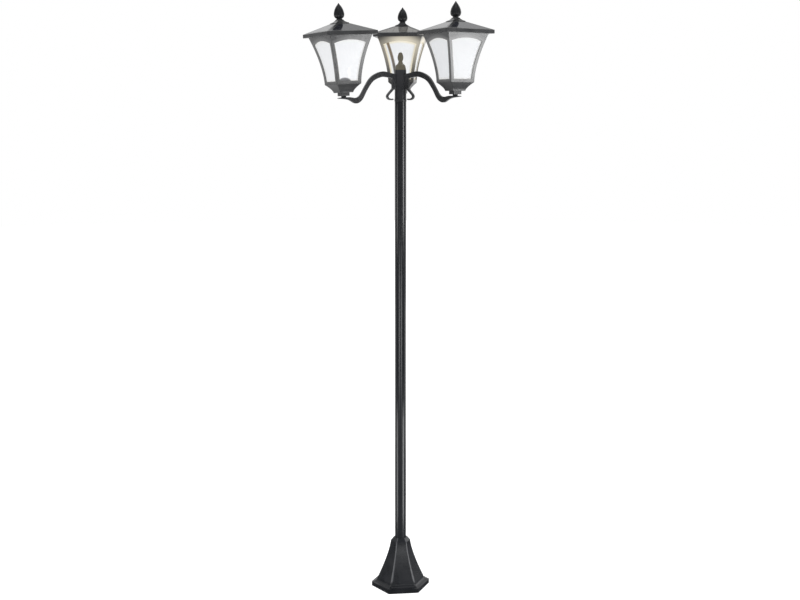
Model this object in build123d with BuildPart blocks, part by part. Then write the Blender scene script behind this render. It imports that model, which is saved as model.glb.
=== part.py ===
from build123d import *
import os
from math import atan, cos, hypot, isclose, radians, sin, sqrt, tan

os.makedirs("parts", exist_ok=True)

# Triple head lamp post: three square lanterns on scrolled arms around the top of a round post
# that stands in a flared hexagonal foot. Millimetres, +Z up. The origin is the middle of the
# foot at ground level, and the rear arm points along +Y.

# ---------------------------------------------------------------- fits between pieces
slip_fit = 0.1          # sleeve in tube, radial
turning_fit = 0.05      # stud in the hole that turns on it, radial
thread_fit = 0.02       # screw in its own thread, radial
cover_gap = 0.4         # foot cover around the post, radial
drop_gap = 0.3          # loose piece that drops into a frame
run_past = 1.0          # how far a cut runs past the face it opens

# ---------------------------------------------------------------- ground plate and foot cover
plate_radius = 72.0
plate_thickness = 6.0
anchor_circle = 58.0    # radius of the circle of anchor holes
anchor_hole = 4.5
anchor_count = 3
socket_height = 112.0
socket_wall = 3.0

cover_flange_corner = 94.0
cover_flange_height = 13.0
cover_toe_corner = 75.5
cover_toe_height = 26.0
cover_toe_steps = 4
cover_shoulder_corner = 32.0
cover_shoulder_height = 149.5
cover_neck_corner = 23.0
cover_height = 160.0
cover_curve = 1.35      # power of the hollow flare
cover_steps = 5
cover_wall = 3.0
cover_rounding = 6.0    # upright edges of the hexagon
cover_turn = 9.0        # degrees that the hexagon stands turned

# ---------------------------------------------------------------- post
post_radius = 17.5
post_wall = 1.5
section_length = 511.5
section_names = ("lower", "middle", "upper")
joiner_length = 100.0
joiner_wall = 2.5
post_screw_heights = (46.0, 90.0)
post_screw_radius = 2.5
post_screw_head = 4.5
post_screw_head_height = 2.8

# ---------------------------------------------------------------- hub
hub_radius = 17.7
hub_height = 94.0
hub_collar_radius = 18.5
hub_collar_height = 8.5
hub_bore = 11.0
hub_floor = 14.0
hub_spigot = 60.0
hub_cap_plug = 12.0
hub_cap_step = 0.9      # cap narrower than the hub
hub_ball_radius = 8.8
hub_ball_height = 26.0
hub_neck_radius = 6.0
hub_cap_rise = 26.5     # from the hub to the thin neck under the ball

# ---------------------------------------------------------------- arms
arm_azimuths = {"right": -30.0, "left": 210.0, "rear": 90.0}
arm_reach = 190.5       # post centre to lantern centre
arm_width = 11.5
arm_seat_rise = 15.5    # seat above the lower end of the hub
arm_crest = 65.5        # centre line above the seat at the crest
arm_dip = 11.2          # centre line below the seat at the lowest bend
arm_pad = 9.0           # half length of the level seat
arm_pad_thickness = 5.0
arm_tip_length = 9.0
arm_tip_thickness = 2.0
arm_drops = {"right": 0.0, "left": 4.8, "rear": -9.0}  # how far each seat has sunk
arm_leans = {"right": 0.0, "left": 3.2, "rear": 0.0}   # degrees that each seat leans outwards
arm_bar_depth = 11.0    # upright bar on the hub, outwards
arm_bar_bottom = 20.0   # above the seat
arm_bar_short = 1.2     # top of the bar below the crest line
arm_throat = 5.0        # rounding between bar and arm
arm_edge = 0.8          # rounding of the long edges
# share of the way from hub to seat, share of the height from dip to crest, thickness
arm_stations = (
    (-0.03, 0.92, 13.5),
    (0.10, 0.95, 14.5),
    (0.25, 1.0, 16.0),
    (0.36, 0.94, 15.2),
    (0.46, 0.815, 13.4),
    (0.545, 0.585, 11.6),
    (0.62, 0.315, 11.0),
    (0.69, 0.085, 14.0),
    (0.78, 0.0, 16.5),
    (0.876, 0.075, 9.8),
)
# scroll below the bar: outwards from the bar's face, down from its lower end, thickness
scroll_stations = (
    (-4.5, -5.0, 6.0),
    (2.6, 2.8, 5.4),
    (9.5, 10.0, 5.0),
    (14.8, 16.0, 4.6),
    (16.8, 20.8, 4.2),
    (14.6, 25.8, 4.2),
    (9.6, 28.8, 4.4),
    (3.3, 29.6, 4.4),
    (-1.7, 28.9, 4.0),
)
arm_screw_heights = (10.0, 30.0)  # above the lower end of the bar
arm_screw_radius = 2.5
arm_screw_head = 4.0
arm_screw_head_height = 3.0
arm_screw_depth = 8.5             # into the bar

# ---------------------------------------------------------------- lantern, up from its seat
neck_radius = 7.5
neck_height = 4.0
stud_radius = 3.0
knob_radius = 13.0
knob_height = 15.0
knob_rounding = 6.5
knob_thread = 10.0

block_half = 13.5
block_height = 9.8
block_edge = 1.0
cup_low_half = 21.9
cup_height = 24.2
cup_curve = 1.55
cup_step = 0.8          # cup narrower than the frame above it
cup_wall = 3.5
cup_floor = 5.0

body_low_half = 40.5
body_high_half = 70.0
body_height = 139.5
body_curve = 1.65
body_steps = 8
frame_depth = 3.6
frame_floor = 3.0
corner_edge = 1.2       # rounding of the four upright corners of cup and frame
stile_width = 9.8
sill_height = 9.0
top_rail = 22.5         # frame top down to the window's upper corners
arch_rise = 9.5

shade_thickness = 1.8
shade_shortfall = 3.0   # shade rim below the frame's top

eave_overhang = 12.5
fascia_height = 10.5
roof_rise = 26.0
roof_top_half = 20.0
roof_wall = 4.0
eave_rounding = 1.5
roof_edge = 0.6         # rounding along eaves and hips
finial_boss = 6.5
finial_boss_depth = 6.0

cap_half = 21.2
cap_edge = 1.0
cap_lip = 0.5           # ledge round the foot of its slopes
cap_rise = 9.5
cap_top_half = 9.0
cap_curve = 1.8
cap_hip = 0.6           # rounding of the cap's edges

finial_height = 48.0
finial_radius = 15.7
finial_collar = 10.4
finial_collar_height = 1.2
finial_tip = 0.6
finial_neck = 9.2
finial_neck_rise = 3.6
finial_stud_length = 18.0
finial_stud_radius = 3.0

panel_thickness = 1.6
panel_gap = 0.2
panel_low_margin = 8.0
panel_high_margin = 11.0
panel_hip_margin = 10.0

# ---------------------------------------------------------------- light module under the roof
tray_fit = 1.6          # tray inside the frame's rim
pocket_gap = 0.6        # tray inside the hollow of the roof
tray_thickness = 2.5
tray_drop = 1.5         # tray underside below the frame's top
box_length = 58.0
box_width = 42.0
box_depth = 35.0
box_wall = 2.0
rib_spacing = 36.0
rib_thickness = 2.0
battery_radius = 7.25
battery_length = 49.5
battery_nub_radius = 2.75
battery_nub_length = 1.0
battery_clearance = 0.15
battery_rise = 3.0      # battery above the board
board_length = 30.0
board_width = 34.0
board_thickness = 1.6
led_radius = 4.0
led_height = 4.5
led_clearance = 1.0
lens_radius = 17.0
lens_depth = 10.0
lens_wall = 1.6
lens_rounding = 7.0
module_screw_offset = 48.0
module_screw_radius = 1.5
module_screw_head = 3.0
module_screw_head_height = 1.8
module_boss_radius = 4.0
switch_offset = 34.0
switch_length = 5.0
switch_width = 3.0
switch_drop = 4.0
switch_plate_length = 14.0
switch_plate_width = 8.0
switch_plate_thickness = 1.5
switch_travel = 4.0
switch_clearance = 0.2

# where each lantern has been left turned on its stud, in degrees from its arm
lantern_turns = {"right": -28.0, "left": 2.0, "rear": -6.0}

# ---------------------------------------------------------------- heights that follow
post_inner = post_radius - post_wall
sleeve_radius = post_inner - slip_fit
hub_base = plate_thickness + section_length * len(section_names)
hub_top = hub_base + hub_height
seat_height = hub_base + arm_seat_rise
bar_face = hub_radius + arm_bar_depth
span = arm_reach - hub_radius

# lantern heights are measured up from its seat on the arm
cup_base = neck_height + block_height
body_base = cup_base + cup_height
floor_top = body_base + frame_floor
sill = body_base + sill_height
eave = body_base + body_height
fascia_top = eave + fascia_height
roof_top = fascia_top + roof_rise
cap_top = roof_top + cap_edge + cap_rise
finial_top = cap_top + finial_height
eave_half = body_high_half + eave_overhang
tray_half = body_high_half - frame_depth - tray_fit
pocket_half = tray_half + pocket_gap
roof_slope = roof_rise / (eave_half - roof_top_half)
tray_base = eave - tray_drop
tray_top = tray_base + tray_thickness
box_base = tray_base - box_depth
board_top = box_base + box_wall + board_thickness
battery_centre = board_top + battery_rise + battery_radius


def save(builder, name):
    # label a finished piece and write it out
    builder.part.label = name
    export_step(builder.part, f"parts/{name}.step")


def upright_plane(x, height):
    # upright plane square to X, above the X axis
    return Plane(origin=(x, 0, height), x_dir=(0, 1, 0), z_dir=(1, 0, 0))


def cover_form(inset):
    # outside of the foot cover, or its hollow when inset by the wall
    shrink = inset / cos(radians(30))
    rounding = cover_rounding - inset / 2

    def hexagon(corner):
        with BuildSketch() as plan:
            RegularPolygon(corner - shrink, 6, rotation=cover_turn)
            fillet(plan.vertices(), rounding)
        return plan.sketch

    with BuildPart() as form:
        with BuildSketch():
            add(hexagon(cover_flange_corner))
        extrude(amount=cover_flange_height - inset)
        # hollow curve from the flange up to the toe
        for step in range(cover_toe_steps + 1):
            turn = radians(90 * step / cover_toe_steps)
            rise = (cover_toe_height - cover_flange_height) * (1 - cos(turn))
            with BuildSketch(Plane.XY.offset(cover_flange_height + rise - inset)):
                add(hexagon(cover_flange_corner - (cover_flange_corner - cover_toe_corner) * sin(turn)))
        loft()
        for step in range(cover_steps + 1):
            share = step / cover_steps
            height = cover_toe_height + (cover_shoulder_height - cover_toe_height) * share
            spread = (cover_toe_corner - cover_shoulder_corner) * (1 - share) ** cover_curve
            with BuildSketch(Plane.XY.offset(height - inset)):
                add(hexagon(cover_shoulder_corner + spread))
        loft()
        if inset == 0:
            for height, corner in (
                (cover_shoulder_height, cover_shoulder_corner),
                (cover_height, cover_neck_corner),
            ):
                with BuildSketch(Plane.XY.offset(height)):
                    add(hexagon(corner))
            loft(ruled=True)
    return form.part


def ribbon(stations):
    # upper and lower edge points of a band that follows centre points (x, y, thickness)
    upper = []
    lower = []
    for index, (x, y, thickness) in enumerate(stations):
        before = stations[max(index - 1, 0)]
        after = stations[min(index + 1, len(stations) - 1)]
        run = hypot(after[0] - before[0], after[1] - before[1])
        normal_x = -(after[1] - before[1]) / run
        normal_y = (after[0] - before[0]) / run
        upper.append((x + normal_x * thickness / 2, y + normal_y * thickness / 2))
        lower.append((x - normal_x * thickness / 2, y - normal_y * thickness / 2))
    return upper, lower


def sunk(share, drop, lean):
    # how far the arm has sunk this share of the way out, level at the hub and leaning at the seat
    along = max(share, 0)
    return drop * along**2 * (3 - 2 * along) - span * tan(lean) * along**2 * (1 - along)


def by_seat(out, below, drop, lean):
    # point of the arm's outline from its seat: outwards along it and square down from it
    x = arm_reach + out * cos(lean) - below * sin(lean)
    y = -drop - out * sin(lean) - below * cos(lean)
    return x, y


def flared_block(low, high, half_at, steps):
    # solid of square plan whose four sides follow the same curve, half_at(height)
    heights = [low + (high - low) * step / steps for step in range(steps + 1)]
    with BuildSketch() as side:
        with BuildLine():
            right = Spline(*[(half_at(height), height) for height in heights])
            top = Line(right @ 1, (-half_at(high), high))
            left = Spline(*[(-half_at(height), height) for height in reversed(heights)])
            Line(left @ 1, right @ 0)
        make_face()
    reach = max(half_at(low), half_at(high)) + run_past
    with BuildPart() as block:
        with BuildSketch(Plane.XZ):
            add(side.sketch)
        extrude(amount=reach, both=True)
        with BuildSketch(Plane.YZ):
            add(side.sketch)
        extrude(amount=reach, both=True, mode=Mode.INTERSECT)
    return block.part


def corner_edges(block, low, high):
    # the four curved edges that run up a flared block where its sides meet
    found = ShapeList()
    for edge in block.edges():
        lower, upper = sorted((edge @ 0, edge @ 1), key=lambda end: end.Z)
        on_corners = all(isclose(abs(end.X), abs(end.Y), abs_tol=0.01) for end in (lower, upper))
        if on_corners and isclose(lower.Z, low, abs_tol=0.01) and isclose(upper.Z, high, abs_tol=0.01):
            found.append(edge)
    return found


def cup_half(height):
    share = (height - cup_base) / cup_height
    return cup_low_half + (body_low_half - cup_step - cup_low_half) * share ** cup_curve


def body_half(height):
    share = (height - body_base) / body_height
    return body_low_half + (body_high_half - body_low_half) * share ** body_curve


def cap_side(height):
    share = (cap_top - height) / cap_rise
    return cap_top_half + (cap_half - cap_lip - cap_top_half) * share ** cap_curve


def roof_outside(half):
    # height of the roof's outer slope where it is this far from the middle
    return fascia_top + (eave_half - half) * roof_slope


def slope_plane(quarter):
    # plane on one roof slope: x along the eave, y up the slope
    turn = Rot(0, 0, 90 * quarter)
    tilt = atan(roof_slope)
    plane = Plane(origin=(eave_half, 0, fascia_top), x_dir=(0, 1, 0), z_dir=(sin(tilt), 0, cos(tilt)))
    return Plane(turn * plane.location)


def panel_outline(gap):
    # trapezoid on a roof slope, in that slope's plane
    run = cos(atan(roof_slope))
    length = (eave_half - roof_top_half) / run
    low = panel_low_margin + gap
    high = length - panel_high_margin - gap
    low_half = eave_half - low * run - panel_hip_margin - gap
    high_half = eave_half - high * run - panel_hip_margin - gap
    with BuildSketch() as outline:
        Polygon((-low_half, low), (low_half, low), (high_half, high), (-high_half, high), align=None)
    return outline.sketch


# ================================================================ foot
with BuildPart() as anchor_plate:
    with BuildSketch():
        Circle(plate_radius)
        with PolarLocations(anchor_circle, anchor_count, start_angle=90):
            Circle(anchor_hole, mode=Mode.SUBTRACT)
    extrude(amount=plate_thickness)
save(anchor_plate, "anchor_plate")

# tube welded upright on the plate, which the post slips over
with BuildPart() as post_socket:
    with BuildSketch(Plane.XY.offset(plate_thickness)):
        Circle(sleeve_radius)
        Circle(sleeve_radius - socket_wall, mode=Mode.SUBTRACT)
    extrude(amount=socket_height)
    for height in post_screw_heights:
        with BuildSketch(upright_plane(0, height)):
            Circle(post_screw_radius + thread_fit)
        extrude(amount=sleeve_radius + run_past, mode=Mode.SUBTRACT)
save(post_socket, "post_socket")

with BuildPart() as post_screws:
    for height in post_screw_heights:
        with BuildSketch(upright_plane(sleeve_radius - socket_wall, height)):
            Circle(post_screw_radius)
        extrude(amount=socket_wall + slip_fit + post_wall + post_screw_head_height)
        with BuildSketch(upright_plane(post_radius, height)):
            Circle(post_screw_head)
        extrude(amount=post_screw_head_height)
save(post_screws, "post_screws")

with BuildPart() as base_cover:
    add(cover_form(0))
    add(cover_form(cover_wall), mode=Mode.SUBTRACT)
    with BuildSketch():
        Circle(post_radius + cover_gap)
    extrude(amount=cover_height, mode=Mode.SUBTRACT)
save(base_cover, "base_cover")

# ================================================================ post
for index, section in enumerate(section_names):
    with BuildPart() as tube:
        with BuildSketch(Plane.XY.offset(plate_thickness + section_length * index)):
            Circle(post_radius)
            Circle(post_inner, mode=Mode.SUBTRACT)
        extrude(amount=section_length)
        if index == 0:
            for height in post_screw_heights:
                with BuildSketch(upright_plane(0, height)):
                    Circle(post_screw_radius + thread_fit)
                extrude(amount=post_radius + run_past, mode=Mode.SUBTRACT)
    save(tube, f"post_{section}")

# inner sleeves across the joints
with BuildPart() as post_joiners:
    for joint in range(1, len(section_names)):
        middle = plate_thickness + section_length * joint
        with BuildSketch(Plane.XY.offset(middle - joiner_length / 2)):
            Circle(sleeve_radius)
            Circle(sleeve_radius - joiner_wall, mode=Mode.SUBTRACT)
        extrude(amount=joiner_length)
save(post_joiners, "post_joiners")

# ================================================================ hub
with BuildPart() as hub:
    with BuildSketch(Plane.XY.offset(hub_base - hub_spigot)):
        Circle(sleeve_radius)
    extrude(amount=hub_spigot)
    with BuildSketch(Plane.XY.offset(hub_base)):
        Circle(hub_radius)
    extrude(amount=hub_height)
    with BuildPart(mode=Mode.PRIVATE) as collar:
        with BuildSketch(Plane.XY.offset(hub_base)):
            Circle(hub_collar_radius)
        extrude(amount=hub_collar_height)
        fillet(collar.edges(), (hub_collar_radius - hub_radius) * 0.9)
    add(collar.part)
    with BuildSketch(Plane.XY.offset(hub_base + hub_floor)):
        Circle(hub_bore)
    extrude(amount=hub_height, mode=Mode.SUBTRACT)
    for azimuth in arm_azimuths.values():
        outwards = (cos(radians(azimuth)), sin(radians(azimuth)), 0)
        for height in arm_screw_heights:
            level = seat_height + arm_bar_bottom + height
            with BuildSketch(Plane(origin=(0, 0, level), z_dir=outwards)):
                Circle(arm_screw_radius + thread_fit)
            extrude(amount=hub_radius + run_past, mode=Mode.SUBTRACT)
save(hub, "hub")

with BuildPart() as hub_cap:
    with BuildSketch(Plane.XZ) as half_section:
        with BuildLine():
            plug = hub_bore - slip_fit
            neck_height_up = hub_top + hub_cap_rise
            ball_top = neck_height_up + hub_ball_height
            side = Polyline(
                (0, hub_top - hub_cap_plug),
                (plug, hub_top - hub_cap_plug),
                (plug, hub_top),
                (hub_radius - hub_cap_step, hub_top),
                (hub_radius - hub_cap_step, hub_top + hub_cap_rise * 0.13),
                (hub_radius * 0.82, hub_top + hub_cap_rise * 0.5),
                (hub_radius * 0.6, hub_top + hub_cap_rise * 0.64),
            )
            neck = Spline(
                side @ 1,
                (hub_neck_radius * 1.15, hub_top + hub_cap_rise * 0.84),
                (hub_neck_radius, neck_height_up),
                tangents=[(-1, 0.45), (0, 1)],
            )
            ball = Spline(
                neck @ 1,
                (hub_ball_radius, neck_height_up + hub_ball_height * 0.42),
                (hub_ball_radius * 0.72, neck_height_up + hub_ball_height * 0.83),
                (0, ball_top),
                tangents=[(0.6, 1), (-1, 0)],
            )
            Line(ball @ 1, side @ 0)
        make_face()
    revolve(axis=Axis.Z)
save(hub_cap, "hub_cap")

# ================================================================ arms
arm_plane = Plane(origin=(0, 0, seat_height), x_dir=(1, 0, 0), z_dir=(0, -1, 0))
seats = {}
for side, azimuth in arm_azimuths.items():
    drop = arm_drops[side]
    lean = radians(arm_leans[side])
    with BuildPart() as arm:
        with BuildSketch(arm_plane):
            with BuildLine():
                upper, lower = ribbon(
                    [
                        (
                            hub_radius + span * along,
                            (arm_crest + arm_dip) * lift - arm_dip - sunk(along, drop, lean),
                            thickness,
                        )
                        for along, lift, thickness in arm_stations
                    ]
                )
                pad_start = by_seat(-arm_pad, 0, drop, lean)
                top_edge = Spline(*upper, pad_start, tangents=[(1, 0.1), (1, -tan(lean))])
                tip = Polyline(
                    pad_start,
                    by_seat(arm_pad, 0, drop, lean),
                    by_seat(arm_pad + arm_tip_length, arm_tip_thickness / 2, drop, lean),
                    by_seat(arm_pad + arm_tip_length, arm_tip_thickness * 1.5, drop, lean),
                )
                low_edge = Spline(
                    tip @ 1,
                    by_seat(0, arm_pad_thickness, drop, lean),
                    *reversed(lower),
                    tangents=[(-1, -0.1), (-1, -0.1)],
                )
                Line(low_edge @ 1, top_edge @ 0)
            make_face()
            # bar that lies on the hub, from the scroll up to the arm
            with Locations((hub_radius - arm_bar_depth / 2, arm_bar_bottom)):
                Rectangle(
                    arm_bar_depth * 1.5,
                    arm_crest - arm_bar_bottom - arm_bar_short,
                    align=(Align.MIN, Align.MIN),
                )
        extrude(amount=arm_width / 2, both=True)
        throat = (bar_face, 0, seat_height + arm_crest - arm_throat)
        fillet(arm.edges().filter_by(Axis.Y).sort_by_distance(throat)[0], arm_throat)
        with BuildSketch(arm_plane):
            with BuildLine():
                inner, outer = ribbon(
                    [
                        (bar_face + out, arm_bar_bottom - down, thickness)
                        for out, down, thickness in scroll_stations
                    ]
                )
                inner_edge = Spline(*inner)
                outer_edge = Spline(*outer)
                Line(inner_edge @ 0, outer_edge @ 0)
                Line(inner_edge @ 1, outer_edge @ 1)
            make_face()
        extrude(amount=arm_width / 2, both=True)
        fillet(arm.edges().filter_by(GeomType.BSPLINE), arm_edge)
        # the bar's back is hollowed to the round hub
        with BuildSketch(Plane.XY.offset(hub_base)):
            Circle(hub_radius)
        extrude(amount=hub_height * 2, mode=Mode.SUBTRACT)
        for height in arm_screw_heights:
            level = seat_height + arm_bar_bottom + height
            with BuildSketch(upright_plane(0, level)):
                Circle(arm_screw_radius + thread_fit)
            extrude(amount=hub_radius + arm_screw_depth, mode=Mode.SUBTRACT)
        # hole for the lantern's stud, square to the seat
        with BuildSketch(Plane(origin=(arm_reach, 0, seat_height - drop), z_dir=(sin(lean), 0, cos(lean)))):
            Circle(stud_radius + thread_fit)
        extrude(amount=-arm_dip, mode=Mode.SUBTRACT)
    with BuildPart() as placed_arm:
        add(arm.part.rotate(Axis.Z, azimuth))
    save(placed_arm, f"{side}_arm")
    seats[side] = Rot(0, 0, azimuth) * Location((arm_reach, 0, seat_height - drop), (0, arm_leans[side], 0))

# screws from inside the hub into the bars, their heads against the bore
head_seat = sqrt(hub_bore**2 - arm_screw_head**2) - thread_fit
with BuildPart() as arm_screws:
    for azimuth in arm_azimuths.values():
        outwards = Vector(cos(radians(azimuth)), sin(radians(azimuth)), 0)
        for height in arm_screw_heights:
            level = Vector(0, 0, seat_height + arm_bar_bottom + height)
            head = head_seat - arm_screw_head_height
            with BuildSketch(Plane(origin=level + outwards * head, z_dir=outwards)):
                Circle(arm_screw_head)
            extrude(amount=arm_screw_head_height)
            with BuildSketch(Plane(origin=level + outwards * head_seat, z_dir=outwards)):
                Circle(arm_screw_radius)
            extrude(amount=hub_radius + arm_screw_depth - head_seat)
save(arm_screws, "arm_screws")

# ================================================================ swivel studs and knobs
with BuildPart() as swivel_studs:
    for seat in seats.values():
        with BuildSketch(Plane(seat).offset(thread_fit - arm_pad_thickness)):
            Circle(stud_radius)
        extrude(amount=arm_pad_thickness + floor_top + knob_thread - thread_fit)
save(swivel_studs, "swivel_studs")

with BuildPart() as swivel_knobs:
    for seat in seats.values():
        with BuildPart(mode=Mode.PRIVATE) as knob:
            with BuildSketch(Plane.XY.offset(floor_top)):
                Circle(knob_radius)
            extrude(amount=knob_height)
            fillet(knob.edges().group_by(Axis.Z)[-1], knob_rounding)
            with BuildSketch(Plane.XY.offset(floor_top)):
                Circle(stud_radius + thread_fit)
            extrude(amount=knob_thread, mode=Mode.SUBTRACT)
        add(knob.part.moved(seat))
save(swivel_knobs, "swivel_knobs")

# ================================================================ lantern pieces, on their own seat
with BuildPart() as neck:
    with BuildSketch():
        Circle(neck_radius)
        Circle(stud_radius + turning_fit, mode=Mode.SUBTRACT)
    extrude(amount=neck_height)

with BuildPart() as cup:
    with BuildSketch(Plane.XY.offset(neck_height)):
        Rectangle(2 * block_half, 2 * block_half)
    extrude(amount=block_height)
    add(flared_block(cup_base, body_base, cup_half, body_steps))
    fillet(cup.edges().filter_by(Axis.Z), block_edge)
    fillet(corner_edges(cup, cup_base, body_base), corner_edge)
    hollow_base = cup_base + cup_floor
    hollow = flared_block(hollow_base, body_base, lambda height: cup_half(height) - cup_wall, body_steps)
    add(hollow, mode=Mode.SUBTRACT)
    with BuildSketch(Plane.XY.offset(neck_height)):
        Circle(stud_radius + turning_fit)
    extrude(amount=hollow_base - neck_height, mode=Mode.SUBTRACT)

# one window outline serves all four sides
with BuildSketch() as window:
    with BuildLine():
        corner = eave - top_rail
        levels = [sill + (corner - sill) * step / body_steps for step in range(body_steps + 1)]
        right = Spline(*[(body_half(level) - stile_width, level) for level in levels])
        ThreePointArc(right @ 1, (0, corner + arch_rise), (stile_width - body_half(corner), corner))
        left = Spline(*[(stile_width - body_half(level), level) for level in reversed(levels)])
        Line(left @ 1, right @ 0)
    make_face()

with BuildPart() as frame:
    add(flared_block(body_base, eave, body_half, body_steps))
    fillet(corner_edges(frame, body_base, eave), corner_edge)
    room = flared_block(floor_top, eave, lambda height: body_half(height) - frame_depth, body_steps)
    add(room, mode=Mode.SUBTRACT)
    for plane in (Plane.XZ, Plane.YZ):
        with BuildSketch(plane):
            add(window.sketch)
        extrude(amount=body_high_half, both=True, mode=Mode.SUBTRACT)
    with BuildSketch(Plane.XY.offset(body_base)):
        Circle(stud_radius + turning_fit)
    extrude(amount=frame_floor, mode=Mode.SUBTRACT)

shade_inset = frame_depth + drop_gap
shade_top = eave - shade_shortfall
with BuildPart() as shade:
    add(flared_block(floor_top, shade_top, lambda height: body_half(height) - shade_inset, body_steps))
    inside = shade_inset + shade_thickness
    add(
        flared_block(floor_top, shade_top, lambda height: body_half(height) - inside, body_steps),
        mode=Mode.SUBTRACT,
    )

with BuildPart() as roof:
    with BuildSketch(Plane.XY.offset(eave)):
        Rectangle(2 * eave_half, 2 * eave_half)
    extrude(amount=fascia_height)
    fillet(roof.edges().filter_by(Axis.Z), eave_rounding)
    for height, half in ((fascia_top, eave_half), (roof_top, roof_top_half)):
        with BuildSketch(Plane.XY.offset(height)) as ring:
            Rectangle(2 * half, 2 * half)
            fillet(ring.vertices(), eave_rounding)
    loft(ruled=True)
    for rim in (eave, fascia_top):
        fillet(roof.edges().filter_by(lambda edge: isclose(edge.center().Z, rim, abs_tol=0.01)), roof_edge)
    # hollow below a wall of even thickness
    pocket_top = roof_outside(pocket_half) - roof_wall
    with BuildSketch(Plane.XY.offset(eave)):
        Rectangle(2 * pocket_half, 2 * pocket_half)
    extrude(amount=pocket_top - eave, mode=Mode.SUBTRACT)
    for height, half in ((pocket_top, pocket_half), (roof_top - roof_wall, roof_top_half)):
        with BuildSketch(Plane.XY.offset(height)):
            Rectangle(2 * half, 2 * half)
    loft(ruled=True, mode=Mode.SUBTRACT)
    # recesses for the solar panels
    for quarter in range(4):
        with BuildSketch(slope_plane(quarter)):
            add(panel_outline(0))
        extrude(amount=-panel_thickness, mode=Mode.SUBTRACT)
    # boss for the finial's stud and four for the module's screws
    boss_base = roof_top - roof_wall - finial_boss_depth
    with BuildSketch(Plane.XY.offset(boss_base)):
        Circle(finial_boss)
    extrude(amount=roof_top - boss_base)
    with BuildSketch(Plane.XY.offset(cap_top - finial_stud_length)):
        Circle(finial_stud_radius + thread_fit)
    extrude(amount=finial_stud_length, mode=Mode.SUBTRACT)
    boss_top = roof_outside(module_screw_offset + module_boss_radius) - panel_thickness * 1.5
    with BuildSketch(Plane.XY.offset(tray_top)):
        with GridLocations(2 * module_screw_offset, 2 * module_screw_offset, 2, 2):
            Circle(module_boss_radius)
    extrude(amount=boss_top - tray_top)
    with BuildSketch(Plane.XY.offset(tray_top)):
        with GridLocations(2 * module_screw_offset, 2 * module_screw_offset, 2, 2):
            Circle(module_screw_radius + thread_fit)
    extrude(amount=(boss_top - tray_top) * 0.7, mode=Mode.SUBTRACT)

with BuildPart() as solar_panels:
    for quarter in range(4):
        with BuildSketch(slope_plane(quarter)):
            add(panel_outline(panel_gap))
        extrude(amount=-panel_thickness)

with BuildPart() as roof_cap:
    with BuildSketch(Plane.XY.offset(roof_top)) as rim:
        Rectangle(2 * cap_half, 2 * cap_half)
        fillet(rim.vertices(), cap_hip)
    extrude(amount=cap_edge)
    add(flared_block(roof_top + cap_edge, cap_top, cap_side, body_steps))
    fillet(corner_edges(roof_cap, roof_top + cap_edge, cap_top), cap_hip)
    with BuildSketch(Plane.XY.offset(roof_top)):
        Circle(finial_stud_radius + thread_fit)
    extrude(amount=cap_edge + cap_rise, mode=Mode.SUBTRACT)

# pointed bud with upright leaves
with BuildPart() as finial:
    with BuildSketch(Plane.XZ):
        with BuildLine():
            bud = finial_height - finial_neck_rise
            foot = Polyline(
                (0, cap_top),
                (finial_collar, cap_top),
                (finial_collar, cap_top + finial_collar_height),
            )
            waist = Line(foot @ 1, (finial_neck, cap_top + finial_neck_rise))
            side = Spline(
                waist @ 1,
                (finial_radius * 0.93, cap_top + finial_neck_rise + bud * 0.16),
                (finial_radius, cap_top + finial_neck_rise + bud * 0.3),
                (finial_radius * 0.77, cap_top + finial_neck_rise + bud * 0.58),
                (finial_radius * 0.36, cap_top + finial_neck_rise + bud * 0.82),
                (finial_tip, finial_top),
                tangents=[(1, 0.5), (-0.5, 1)],
            )
            Polyline(side @ 1, (0, finial_top), (0, cap_top))
        make_face()
    revolve(axis=Axis.Z)
    with BuildSketch(Plane.XY.offset(cap_top - finial_stud_length)):
        Circle(finial_stud_radius)
    extrude(amount=finial_stud_length)

# ================================================================ light module
with BuildPart() as light_housing:
    with BuildSketch(Plane.XY.offset(tray_base)):
        Rectangle(2 * tray_half, 2 * tray_half)
    extrude(amount=tray_thickness)
    with BuildSketch(Plane.XY.offset(box_base)):
        Rectangle(box_length, box_width)
    extrude(amount=box_depth)
    with BuildSketch(Plane.XY.offset(box_base + box_wall)):
        Rectangle(box_length - 2 * box_wall, box_width - 2 * box_wall)
    extrude(amount=box_depth + tray_thickness, mode=Mode.SUBTRACT)
    # ribs that cradle the battery
    with BuildSketch(Plane.XY.offset(box_base + box_wall)):
        with Locations((-rib_spacing / 2, 0), (rib_spacing / 2, 0)):
            Rectangle(rib_thickness, box_width - 2 * box_wall)
    extrude(amount=battery_centre - box_base - box_wall)
    with BuildSketch(upright_plane(-rib_spacing, battery_centre)):
        Circle(battery_radius + battery_clearance)
    extrude(amount=2 * rib_spacing, mode=Mode.SUBTRACT)
    # holes for the lamp chip, the switch and the screws
    with BuildSketch(Plane.XY.offset(box_base)):
        Circle(led_radius + led_clearance)
    extrude(amount=box_wall, mode=Mode.SUBTRACT)
    with BuildSketch(Plane.XY.offset(tray_base)):
        with Locations((switch_travel / 2, switch_offset)):
            Rectangle(
                switch_length + switch_travel + 2 * switch_clearance,
                switch_width + 2 * switch_clearance,
            )
        with GridLocations(2 * module_screw_offset, 2 * module_screw_offset, 2, 2):
            Circle(module_screw_radius + thread_fit)
    extrude(amount=tray_thickness, mode=Mode.SUBTRACT)

with BuildPart() as circuit_board:
    with BuildSketch(Plane.XY.offset(board_top - board_thickness)):
        Rectangle(board_length, board_width)
    extrude(amount=board_thickness)
    with BuildSketch(Plane.XY.offset(board_top - board_thickness - led_height)):
        Circle(led_radius)
    extrude(amount=led_height)
    fillet(circuit_board.edges().group_by(Axis.Z)[0], led_radius * 0.7)

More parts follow.
